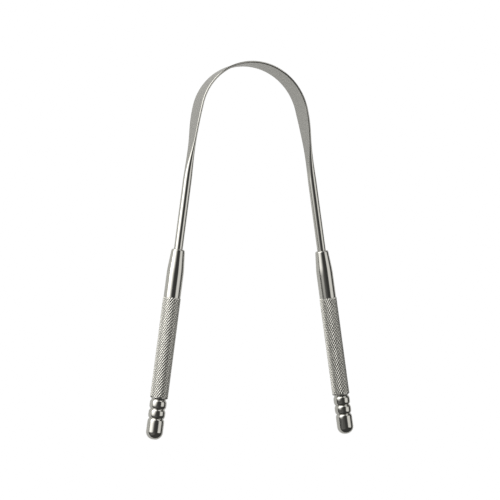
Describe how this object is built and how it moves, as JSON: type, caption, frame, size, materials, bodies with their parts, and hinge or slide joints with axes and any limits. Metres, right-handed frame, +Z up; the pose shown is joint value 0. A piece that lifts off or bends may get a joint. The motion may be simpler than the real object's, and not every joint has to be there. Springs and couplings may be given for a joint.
{
  "type": "tongue scraper",
  "caption": "U-shaped steel tongue scraper: a springy bow with a flat band across its top, held by knurled handles with beaded, rounded ends.",
  "frame": {"origin": "middle of the whole outline in X and Y, on the plane that the band's lower edge rests on", "axes": "+Y points from the handles to the top of the bow, +X to the right-hand handle seen from above, +Z up out of the plane of the U"},
  "size_m": [0.0884, 0.15, 0.0115],
  "materials": {
    "bow_steel": "satin band with polished rods",
    "handle_steel": "mirror polished, with a knurled grip"
  },
  "bodies": {
    "root": {"scraper_bow": "bow_steel", "left_handle": "handle_steel", "right_handle": "handle_steel"}
  },
  "joints": []
}
